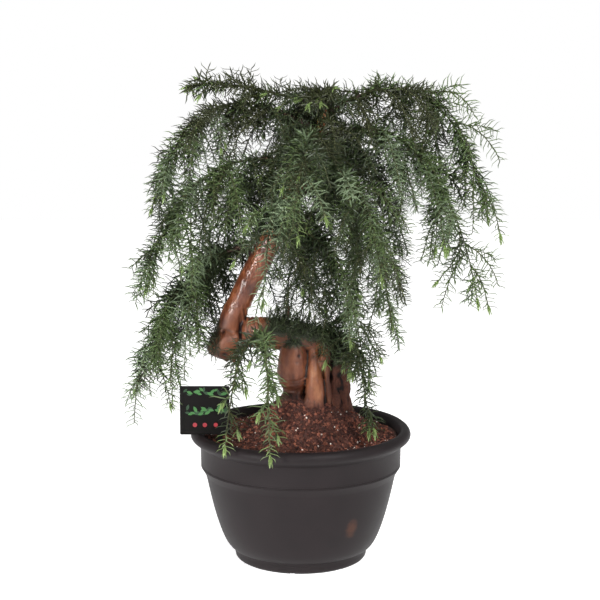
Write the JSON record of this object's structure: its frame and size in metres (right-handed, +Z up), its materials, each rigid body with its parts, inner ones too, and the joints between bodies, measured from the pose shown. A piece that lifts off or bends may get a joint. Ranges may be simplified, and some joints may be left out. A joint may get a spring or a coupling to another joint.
{
  "type": "araucaria bonsai",
  "caption": "Weeping araucaria bonsai with a stump, a level arm and a slanting trunk, arching boughs of drooping needled shoots, in a round plastic pot.",
  "frame": {"origin": "middle of the pot's flat underside", "axes": "+Z up, +X to the right as seen from the front, -Y to the front"},
  "size_m": [0.551, 0.3921, 0.7482],
  "materials": {
    "pot_plastic": "moulded anthracite plastic, faintly satin",
    "bark_soil": "loose moist bark chips with pale grains",
    "label_card": "printed plastic card, satin",
    "old_bark": "smooth coppery bark with ring ridges and rough dark hollows",
    "young_bark": "thin brown bark",
    "needles": "glaucous needles with pale green tips"
  },
  "bodies": {
    "root": {"bough_lower_back": "young_bark", "bough_lower_back_left": "young_bark", "bough_lower_front": "young_bark", "bough_lower_left": "young_bark", "bough_lower_right": "young_bark", "bough_middle_back": "young_bark", "bough_middle_front": "young_bark", "bough_middle_left": "young_bark", "bough_middle_right": "young_bark", "bough_top_back": "young_bark", "bough_top_left": "young_bark", "bough_top_right": "young_bark", "bough_upper_back_right": "young_bark", "bough_upper_front": "young_bark", "bough_upper_left": "young_bark", "bough_upper_right": "young_bark", "foliage_apex": "needles", "foliage_arm_left": "needles", "foliage_arm_right": "needles", "foliage_lower_back": "needles", "foliage_lower_back_left": "needles", "foliage_lower_front": "needles", "foliage_lower_left": "needles", "foliage_lower_right": "needles", "foliage_middle_back": "needles", "foliage_middle_front": "needles", "foliage_middle_left": "needles", "foliage_middle_right": "needles", "foliage_stump_right": "needles", "foliage_stump_top": "needles", "foliage_top_back": "needles", "foliage_top_left": "needles", "foliage_top_right": "needles", "foliage_upper_back_right": "needles", "foliage_upper_front": "needles", "foliage_upper_left": "needles", "foliage_upper_right": "needles", "label": "label_card", "pot": "pot_plastic", "soil": "bark_soil", "trunk_arm": "old_bark", "trunk_stump": "old_bark", "trunk_upper": "old_bark"}
  },
  "joints": []
}
